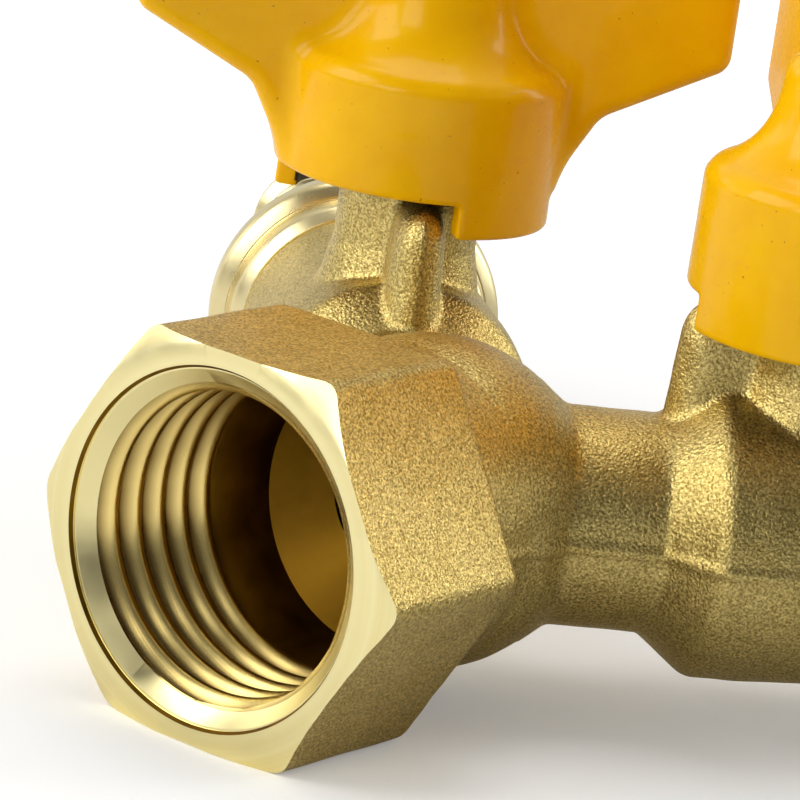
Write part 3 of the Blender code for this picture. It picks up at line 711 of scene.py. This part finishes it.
def build_nozzle(side, materials):
    """Screwed plug, polished collar in two rounded steps, and a barbed hose tail."""
    outline = [(NOZZLE_BORE + NOZZLE_CHAMFER, NOZZLE_END, 0), (NOZZLE_TIP, NOZZLE_END, 0.3),
               (BARB_ROOT, NOZZLE_END - 0.5, 0)]
    for barb in range(BARB_COUNT):
        crest = NOZZLE_END - (barb + 0.75) * BARB_PITCH
        root = NOZZLE_END - (barb + 1) * BARB_PITCH
        outline += [(BARB_CREST, crest, 0.12), (BARB_CREST, crest - 0.3, 0.12), (BARB_ROOT, root, 0.15)]
    tail = NOZZLE_END - (BARB_COUNT + 0.2) * BARB_PITCH
    collar_start = BARREL_END + 0.3
    outline += [(NOZZLE_NECK, tail, 0.3), (NOZZLE_NECK, COLLAR_END, 0.8)]
    outline += [(COLLAR_RADIUS, COLLAR_END, 0.7), (COLLAR_RADIUS + 0.1, COLLAR_LIP_START + 0.85, 1.1),
                (COLLAR_STEP_RADIUS + 0.15, COLLAR_LIP_START, 0.1),
                (COLLAR_STEP_RADIUS, COLLAR_LIP_START, 0.1),
                (COLLAR_STEP_RADIUS - 0.1, COLLAR_STEP_START, 0.9), (BARREL_END_RADIUS, collar_start, 0.2)]
    outline += [(PLUG_RADIUS, collar_start, 0), (PLUG_RADIUS, RING_GROOVE_END, 0),
                (RING_GROOVE_RADIUS, RING_GROOVE_END, 0), (RING_GROOVE_RADIUS, RING_GROOVE_START, 0),
                (PLUG_RADIUS, RING_GROOVE_START, 0), (PLUG_RADIUS, PLUG_START, 0.3),
                (NOZZLE_BORE, PLUG_START, 0), (NOZZLE_BORE, NOZZLE_END - NOZZLE_CHAMFER, 0)]
    nozzle = lathe(side + "_hose_nozzle", rounded(outline, 5), 128, ALONG_Y, loop=True)
    nozzle.data.materials.append(materials["polished_brass"])
    finish_piece(nozzle, valve_place(side), radians(25))
    ride_as(nozzle, "valve_body", side + "_outlet_nozzle")
    return nozzle


def build_ball(side, materials):
    """Chromed ball, bored across with eased edges, and slotted for the stem's tang."""
    angles = [radians(a) for a in range(-90, 91, 3)]
    profile = [(BALL_RADIUS * cos(a), BALL_RADIUS * sin(a)) for a in angles]
    profile[0] = (0, -BALL_RADIUS)
    profile[-1] = (0, BALL_RADIUS)
    ball = lathe(side + "_chromed_ball", profile, 96)
    through = BALL_RADIUS + 1
    straight = 5.2
    easing = 1.5
    hole = [(0, -through), (BALL_BORE + easing, -through), (BALL_BORE, -straight),
            (BALL_BORE, straight), (BALL_BORE + easing, through), (0, through)]
    bore = lathe("bore", hole, 64, Matrix.Rotation(pi / 2, 4, "Y"))
    slot_width = 2.6
    slot_depth = 1.7
    slot = box("slot", (slot_width, 16, 2), (0, 0, BALL_RADIUS - slot_depth + 1))
    carve(ball, "DIFFERENCE", [bore, slot])
    ball.data.materials.append(materials["chrome"])
    finish_piece(ball, valve_place(side))
    ride_as(ball, side + "_rotor", side + "_ball")
    return ball


def build_screw(side, materials):
    """Pan-headed screw with a cross recess and a threaded shank."""
    bottom = SCREW_HEAD_BOTTOM
    rim = bottom + 0.9
    crown = 1.4
    top = rim + crown
    outline = [(0.0, SCREW_BOTTOM), (1.1, SCREW_BOTTOM)]
    for turn in range(SCREW_TURNS):
        foot = SCREW_BOTTOM + 0.4 + turn * SCREW_PITCH
        outline += [(SCREW_RADIUS, foot), (SCREW_RADIUS, foot + 0.12)]
        outline += [(SCREW_CORE, foot + 0.3), (SCREW_CORE, foot + 0.42)]
    outline += [(SCREW_RADIUS, bottom - 0.2), (SCREW_RADIUS, bottom)]
    outline += [(SCREW_HEAD_RADIUS - 0.15, bottom), (SCREW_HEAD_RADIUS, bottom + 0.15)]
    outline += [(SCREW_HEAD_RADIUS, rim)]
    dome = [radians(a) for a in range(10, 90, 10)]
    outline += [(SCREW_HEAD_RADIUS - crown * (1 - cos(a)), rim + crown * sin(a)) for a in dome]
    outline += [(0.8, top), (0.0, top)]
    screw = lathe(side + "_pan_head_screw", outline, 64)
    middle = (0, 0, top - 0.1)
    arms = [box("arm", (CROSS_LENGTH, CROSS_WIDTH, CROSS_DEPTH), middle),
            box("arm", (CROSS_WIDTH, CROSS_LENGTH, CROSS_DEPTH), middle)]
    carve(screw, "DIFFERENCE", arms)
    screw.data.materials.append(materials["zinc_steel"])
    finish_piece(screw, valve_place(side))
    ride_as(screw, side + "_rotor", side + "_handle_screw")
    return screw


def build_washer(side, materials):
    """A flat ring with eased edges under the screw's head."""
    top = WASHER_BOTTOM + WASHER_THICKNESS
    outline = rounded([(WASHER_RADIUS, top, 0.15), (WASHER_RADIUS, WASHER_BOTTOM, 0.15),
                       (WASHER_HOLE, WASHER_BOTTOM, 0.1), (WASHER_HOLE, top, 0.1)], 4)
    washer = lathe(side + "_plain_washer", outline, 72, loop=True)
    washer.data.materials.append(materials["zinc_steel"])
    finish_piece(washer, valve_place(side))
    ride_as(washer, side + "_rotor", side + "_screw_washer")
    return washer


# ---------------------------------------------------------------- materials

class Shader:
    """A small helper round one node material.

    Its grain follows the place that finish_piece kept on a piece's points, or the coordinates
    of a CAD node's mesh."""

    def __init__(self, name, metallic, roughness, on_frame=False):
        self.material = bpy.data.materials.new(name)
        self.material.use_nodes = True
        self.tree = self.material.node_tree
        self.surface = self.tree.nodes["Principled BSDF"]
        self.surface.inputs["Metallic"].default_value = metallic
        self.surface.inputs["Roughness"].default_value = roughness
        if on_frame:
            self.place = self.tree.nodes.new("ShaderNodeTexCoord").outputs["Object"]
        else:
            stored = self.tree.nodes.new("ShaderNodeAttribute")
            stored.attribute_name = OWN_PLACE
            self.place = stored.outputs["Vector"]

    def set(self, socket, value):
        self.surface.inputs[socket].default_value = value

    def put(self, node, socket, value):
        """Set a socket to a number or a colour, or link another node's output to it."""
        if isinstance(value, bpy.types.NodeSocket):
            self.tree.links.new(value, node.inputs[socket])
        else:
            node.inputs[socket].default_value = value

    def noise(self, size, detail=2, roughness=0.5):
        """Noise whose grains are about this many millimetres."""
        node = self.tree.nodes.new("ShaderNodeTexNoise")
        self.put(node, "Vector", self.place)
        self.put(node, "Scale", 1 / (size * MM))
        self.put(node, "Detail", detail)
        self.put(node, "Roughness", roughness)
        return node.outputs["Fac"]

    def cells(self, size):
        """Distance from the middle of the nearest cell, for dents about this many millimetres wide."""
        node = self.tree.nodes.new("ShaderNodeTexVoronoi")
        self.put(node, "Vector", self.place)
        self.put(node, "Scale", 1 / (size * MM))
        return node.outputs["Distance"]

    def maths(self, operation, a, b=0.0):
        node = self.tree.nodes.new("ShaderNodeMath")
        node.operation = operation
        self.put(node, 0, a)
        self.put(node, 1, b)
        return node.outputs[0]

    def spread(self, value, low, high, to_low=0.0, to_high=1.0):
        """A value spread from one range to another."""
        node = self.tree.nodes.new("ShaderNodeMapRange")
        for socket, number in (("Value", value), ("From Min", low), ("From Max", high),
                               ("To Min", to_low), ("To Max", to_high)):
            self.put(node, socket, number)
        return node.outputs["Result"]

    def mix(self, share, a, b):
        """The first colour where the share is 0, the second where it is 1."""
        node = self.tree.nodes.new("ShaderNodeMix")
        node.data_type = "RGBA"
        self.put(node, 0, share)
        self.put(node, 6, a)
        self.put(node, 7, b)
        return node.outputs[2]

    def axis_parts(self):
        """Distance from the local Y axis, and place along it."""
        node = self.tree.nodes.new("ShaderNodeSeparateXYZ")
        self.put(node, "Vector", self.place)
        x, y, z = node.outputs
        squares = self.maths("ADD", self.maths("MULTIPLY", x, x), self.maths("MULTIPLY", z, z))
        return self.maths("SQRT", squares), y

    def lines(self, value, size):
        """Fine lines wherever a value changes, such as tool marks."""
        node = self.tree.nodes.new("ShaderNodeTexNoise")
        node.noise_dimensions = "1D"
        self.put(node, "W", value)
        self.put(node, "Scale", 1 / (size * MM))
        self.put(node, "Detail", 3)
        return node.outputs["Fac"]

    def bump(self, height, distance, strength, under=None):
        """A bump whose depth is in millimetres, over another one if given."""
        node = self.tree.nodes.new("ShaderNodeBump")
        self.put(node, "Height", height)
        self.put(node, "Distance", distance * MM)
        self.put(node, "Strength", strength)
        if under is not None:
            self.put(node, "Normal", under)
        return node.outputs["Normal"]

    def link(self, socket, value):
        """Feed one of the surface's sockets."""
        self.tree.links.new(value, self.surface.inputs[socket])


def forged_brass():
    """Shot-blasted brass: sparkling grain, dull hollows and slow changes of tone."""
    shader = Shader("forged_brass", 1.0, 0.42)
    grain = shader.noise(0.17, 2, 0.6)
    fine = shader.noise(0.10, 2)
    patches = shader.noise(4.0, 3)
    dents = shader.cells(0.24)
    base = shader.mix(shader.spread(grain, 0.36, 0.64), (0.24, 0.155, 0.03, 1), (0.95, 0.745, 0.275, 1))
    browned = shader.mix(shader.spread(patches, 0.35, 0.7), (0.50, 0.39, 0.12, 1), (0.72, 0.59, 0.24, 1))
    shader.link("Base Color", shader.mix(0.28, base, browned))
    shader.link("Roughness", shader.spread(fine, 0.35, 0.65, 0.28, 0.52))
    normal = shader.bump(grain, 0.055, 1.0)
    normal = shader.bump(dents, 0.04, 0.8, normal)
    shader.link("Normal", normal)
    return shader.material


def machined_brass():
    """Pale turned brass with concentric tool marks."""
    shader = Shader("machined_brass", 1.0, 0.3)
    radius, along = shader.axis_parts()
    marks = shader.lines(shader.maths("ADD", radius, along), 0.11)
    broad = shader.lines(shader.maths("ADD", radius, along), 0.9)
    dull = shader.noise(2.5, 2)
    shader.link("Base Color", shader.mix(shader.spread(broad, 0.35, 0.65),
                                         (0.93, 0.80, 0.38, 1), (0.98, 0.87, 0.46, 1)))
    shader.link("Roughness", shader.spread(dull, 0.3, 0.7, 0.28, 0.38))
    shader.link("Normal", shader.bump(marks, 0.008, 0.6))
    return shader.material


def threaded_brass():
    """The thread: bright crests, and grooves painted dark brown as shade."""
    shader = Shader("threaded_brass", 1.0, 0.27)
    radius, along = shader.axis_parts()
    patchy_noise = shader.noise(3.0, 2)
    depth = shader.maths("ADD", radius, shader.maths("MULTIPLY", patchy_noise, 0.3 * MM))
    # Painted shade: the colour turns dark brown towards the grooves' roots, with a patchy edge.
    bright_crest = (THREAD_CREST + 0.35) * MM
    shaded_groove = (THREAD_ROOT + 0.2) * MM
    shader.link("Base Color", shader.mix(shader.spread(depth, bright_crest, shaded_groove),
                                         (0.98, 0.76, 0.28, 1), (0.14, 0.065, 0.008, 1)))
    marks = shader.lines(along, 0.12)
    shader.link("Normal", shader.bump(marks, 0.006, 0.4))
    return shader.material


def bored_brass():
    """Bores: shiny brass painted dark brown as shade, with tool rings."""
    shader = Shader("bored_brass", 1.0, 0.3)
    along = shader.axis_parts()[1]
    marks = shader.lines(along, 0.15)
    patchy_noise = shader.noise(3.0, 2)
    # The dark brown base colours are painted shade inside the bores.
    shader.link("Base Color", shader.mix(shader.spread(patchy_noise, 0.35, 0.65),
                                         (0.15, 0.075, 0.005, 1), (0.24, 0.12, 0.010, 1)))
    shader.link("Roughness", shader.spread(patchy_noise, 0.3, 0.7, 0.38, 0.52))
    shader.link("Normal", shader.bump(marks, 0.01, 0.5))
    return shader.material


def polished_brass():
    """Turned and polished collar and hose tail."""
    shader = Shader("polished_brass", 1.0, 0.3)
    radius, along = shader.axis_parts()
    marks = shader.lines(shader.maths("ADD", radius, along), 0.13)
    haze = shader.noise(4.0, 3)
    shader.link("Base Color", shader.mix(shader.spread(haze, 0.35, 0.65),
                                         (0.82, 0.68, 0.34, 1), (0.90, 0.78, 0.44, 1)))
    shader.link("Roughness", shader.spread(haze, 0.3, 0.7, 0.24, 0.36))
    shader.link("Normal", shader.bump(marks, 0.004, 0.4))
    return shader.material


def enamel():
    """Thick yellow paint: glossy, faintly uneven, with tiny specks and pits."""
    shader = Shader("yellow_enamel", 0.0, 0.25)
    shader.set("Specular IOR Level", 0.12)
    shader.set("Coat Weight", 0.18)
    shader.set("Coat Roughness", 0.07)
    swell = shader.noise(2.6, 2)
    peel = shader.noise(0.7, 2)
    specks = shader.noise(0.30, 1)
    tone = shader.mix(shader.spread(swell, 0.3, 0.7), (0.93, 0.48, 0.0, 1), (0.97, 0.53, 0.0, 1))
    shader.link("Base Color", shader.mix(shader.spread(specks, 0.77, 0.80), tone, (0.42, 0.18, 0.004, 1)))
    shader.link("Roughness", shader.spread(peel, 0.3, 0.7, 0.20, 0.30))
    normal = shader.bump(swell, 0.06, 0.5)
    normal = shader.bump(peel, 0.010, 0.4, normal)
    shader.link("Normal", normal)
    return shader.material


def bare_casting_painted_shade():
    """The unpainted, dull inside of a handle, its dark colour painted shade under the skirt."""
    shader = Shader("bare_casting_painted_shade", 0.7, 0.6)
    grain = shader.noise(0.25, 3)
    # The near-black base colours are painted shade inside the skirt.
    shader.link("Base Color", shader.mix(grain, (0.05, 0.038, 0.02, 1), (0.15, 0.11, 0.06, 1)))
    shader.link("Normal", shader.bump(grain, 0.04, 0.7))
    return shader.material


def chrome():
    """Hard chrome with a faint haze."""
    shader = Shader("hard_chrome", 1.0, 0.08)
    haze = shader.noise(1.5, 3)
    shader.link("Base Color", shader.mix(haze, (0.66, 0.66, 0.68, 1), (0.80, 0.80, 0.81, 1)))
    shader.link("Roughness", shader.spread(haze, 0.3, 0.7, 0.05, 0.14))
    return shader.material


def ptfe():
    """Waxy white PTFE, for the seats and the thrust washers."""
    shader = Shader("white_ptfe", 0.0, 0.5, on_frame=True)
    shader.set("Subsurface Weight", 0.1)
    shader.set("Subsurface Scale", 0.001)
    cloud = shader.noise(1.2, 3)
    shader.link("Base Color", shader.mix(cloud, (0.78, 0.78, 0.75, 1), (0.90, 0.90, 0.88, 1)))
    shader.link("Normal", shader.bump(cloud, 0.01, 0.4))
    return shader.material


def rubber():
    """Matt black rubber, for the O-rings."""
    shader = Shader("black_rubber", 0.0, 0.6, on_frame=True)
    grain = shader.noise(0.2, 2)
    shader.link("Base Color", shader.mix(grain, (0.012, 0.012, 0.013, 1), (0.035, 0.035, 0.036, 1)))
    shader.link("Roughness", shader.spread(grain, 0.3, 0.7, 0.5, 0.72))
    shader.link("Normal", shader.bump(grain, 0.01, 0.4))
    return shader.material


def zinc_steel():
    """Zinc plating, faintly blue, with a brushed haze."""
    shader = Shader("zinc_steel", 1.0, 0.3)
    haze = shader.noise(0.8, 3)
    shader.link("Base Color", shader.mix(haze, (0.34, 0.35, 0.37, 1), (0.52, 0.53, 0.55, 1)))
    shader.link("Roughness", shader.spread(haze, 0.3, 0.7, 0.22, 0.38))
    shader.link("Normal", shader.bump(shader.noise(0.15, 2), 0.006, 0.5))
    return shader.material


def turned_brass():
    """Bare turned brass, for the stems."""
    shader = Shader("turned_brass", 1.0, 0.3, on_frame=True)
    haze = shader.noise(0.9, 3)
    shader.link("Base Color", shader.mix(haze, (0.70, 0.50, 0.20, 1), (0.85, 0.67, 0.32, 1)))
    shader.link("Roughness", shader.spread(haze, 0.3, 0.7, 0.24, 0.38))
    shader.link("Normal", shader.bump(shader.noise(0.2, 2), 0.008, 0.5))
    return shader.material


def repaint(node, material):
    """Give a CAD node that stays as it is its finished material."""
    piece = frame["nodes"][node]
    for held in piece.material_slots:
        held.material = material


# ---------------------------------------------------------------- stage, light and camera

def seen_or_mirrored(tree, seen, mirrored):
    """One shader for what the camera sees, and a dimmer one for what the object is lit by and mirrors."""
    path = tree.nodes.new("ShaderNodeLightPath")
    mix = tree.nodes.new("ShaderNodeMixShader")
    tree.links.new(path.outputs["Is Camera Ray"], mix.inputs[0])
    tree.links.new(mirrored, mix.inputs[1])
    tree.links.new(seen, mix.inputs[2])
    return mix.outputs[0]


def dot_with(tree, vector, direction):
    """How far a vector socket reaches in a direction."""
    node = tree.nodes.new("ShaderNodeVectorMath")
    node.operation = "DOT_PRODUCT"
    node.inputs[1].default_value = direction
    tree.links.new(vector, node.inputs[0])
    return node.outputs["Value"]


def ramped(tree, value, low, high, to_low, to_high, smooth=False):
    """A value spread from one range to another."""
    node = tree.nodes.new("ShaderNodeMapRange")
    if smooth:
        node.interpolation_type = "SMOOTHSTEP"
    for socket, limit in (("From Min", low), ("From Max", high), ("To Min", to_low), ("To Max", to_high)):
        node.inputs[socket].default_value = limit
    tree.links.new(value, node.inputs["Value"])
    return node.outputs["Result"]


def floor():
    """Pale floor that glows into the white far away.

    The object sees it as a white card ahead of it and grey behind it."""
    reach = 4.0
    drop = 0.00002
    corners = [(-reach, -reach, -drop), (reach, -reach, -drop), (reach, reach, -drop), (-reach, reach, -drop)]
    mesh = bpy.data.meshes.new("floor")
    mesh.from_pydata(corners, [], [(0, 1, 2, 3)])
    ground = new_object("floor", mesh)
    material = bpy.data.materials.new("pale_floor")
    material.use_nodes = True
    tree = material.node_tree
    place = tree.nodes.new("ShaderNodeTexCoord").outputs["Object"]
    pale = tree.nodes["Principled BSDF"]
    pale.inputs["Base Color"].default_value = (0.93, 0.93, 0.93, 1)
    pale.inputs["Roughness"].default_value = 0.9
    pale.inputs["Specular IOR Level"].default_value = 0.0
    pale.inputs["Emission Color"].default_value = (1, 1, 1, 1)
    distance = tree.nodes.new("ShaderNodeVectorMath")
    distance.operation = "LENGTH"
    tree.links.new(place, distance.inputs[0])
    glow = ramped(tree, distance.outputs["Value"], 0.12, 0.7, 0.22, 1.0)
    tree.links.new(glow, pale.inputs["Emission Strength"])
    mirrored = tree.nodes.new("ShaderNodeBsdfDiffuse")
    ahead = dot_with(tree, place, (-0.57, -0.82, 0))
    card = ramped(tree, ahead, -0.03, 0.03, 0.6, 0.97)
    tree.links.new(card, mirrored.inputs["Color"])
    both = seen_or_mirrored(tree, pale.outputs[0], mirrored.outputs[0])
    tree.links.new(both, tree.nodes["Material Output"].inputs["Surface"])
    mesh.materials.append(material)
    return ground


def world():
    """White for the eye. What the object mirrors is bright behind it and dark ahead of it."""
    surroundings = bpy.data.worlds.new("studio")
    bpy.context.scene.world = surroundings
    surroundings.use_nodes = True
    tree = surroundings.node_tree
    seen = tree.nodes["Background"]
    seen.inputs["Color"].default_value = (1, 1, 1, 1)
    mirrored = tree.nodes.new("ShaderNodeBackground")
    direction = tree.nodes.new("ShaderNodeTexCoord").outputs["Generated"]
    bright_side = Vector((-0.45, 0.85, 0.25)).normalized()
    strength = ramped(tree, dot_with(tree, direction, bright_side), -0.2, 0.85, 0.13, 0.85, smooth=True)
    tree.links.new(strength, mirrored.inputs["Strength"])
    both = seen_or_mirrored(tree, seen.outputs[0], mirrored.outputs[0])
    tree.links.new(both, tree.nodes["World Output"].inputs["Surface"])


def softbox(name, place, size, power):
    """A soft light that faces the object and isn't seen itself. Place and size are in metres."""
    data = bpy.data.lights.new(name, "AREA")
    data.shape = "RECTANGLE"
    data.size, data.size_y = size
    data.energy = power
    lamp = bpy.data.objects.new(name, data)
    bpy.context.scene.collection.objects.link(lamp)
    lamp.location = place
    aim = LIGHTS_AIM - Vector(place)
    lamp.rotation_euler = aim.to_track_quat("-Z", "Y").to_euler()
    lamp.visible_camera = False
    return lamp


def lights():
    softbox("key_softbox", (-0.75, -0.95, 0.75), (0.9, 0.9), 9.5)
    softbox("front_softbox", (0.05, -1.0, 0.42), (0.5, 0.5), 2.8)
    softbox("left_softbox", (-1.25, -0.25, 0.35), (0.7, 0.5), 1.2)
    softbox("rim_softbox", (0.75, 1.0, 0.55), (0.6, 0.8), 4.5)
    softbox("top_softbox", (-0.25, 0.2, 1.4), (0.8, 0.8), 4)


def camera():
    """A long lens, turned about Z by its yaw, tipped down by its pitch and leaned by its roll."""
    across = cos(CAMERA_PITCH)
    forward = Vector((-sin(CAMERA_YAW) * across, cos(CAMERA_YAW) * across, -sin(CAMERA_PITCH)))
    level = Vector((cos(CAMERA_YAW), sin(CAMERA_YAW), 0))
    upright = level.cross(forward)
    right = level * cos(CAMERA_ROLL) + upright * sin(CAMERA_ROLL)
    up = upright * cos(CAMERA_ROLL) - level * sin(CAMERA_ROLL)
    matrix = Matrix((right, up, -forward)).transposed().to_4x4()
    matrix.translation = JUNCTION + Vector(CAMERA_PLACE) * MM
    data = bpy.data.cameras.new("camera")
    data.lens = CAMERA_LENS
    data.sensor_width = 36
    data.clip_start = 0.01
    data.clip_end = 50
    eye = bpy.data.objects.new("camera", data)
    bpy.context.scene.collection.objects.link(eye)
    eye.matrix_world = matrix
    bpy.context.scene.camera = eye


# ---------------------------------------------------------------- assembly

def main():
    """Build every piece, repaint the CAD nodes that stay, and set the stage."""
    materials = {
        "forged_brass": forged_brass(),
        "machined_brass": machined_brass(),
        "bored_brass": bored_brass(),
        "threaded_brass": threaded_brass(),
        "polished_brass": polished_brass(),
        "enamel": enamel(),
        "bare_casting_painted_shade": bare_casting_painted_shade(),
        "chrome": chrome(),
        "zinc_steel": zinc_steel(),
    }
    build_body(materials)
    for side in SIDES:
        build_handle(side, materials)
        build_nozzle(side, materials)
        build_ball(side, materials)
        build_screw(side, materials)
        build_washer(side, materials)
    white = ptfe()
    black = rubber()
    brass = turned_brass()
    for side in SIDES:
        repaint(side + "_stem", brass)
        for name in ("_inner_seat", "_outer_seat", "_thrust_washer"):
            repaint(side + name, white)
        for name in ("_nozzle_o_ring", "_stem_o_ring_lower", "_stem_o_ring_upper"):
            repaint(side + name, black)
    floor()
    world()
    lights()
    camera()
    bpy.context.scene.view_settings.view_transform = "Standard"


main()
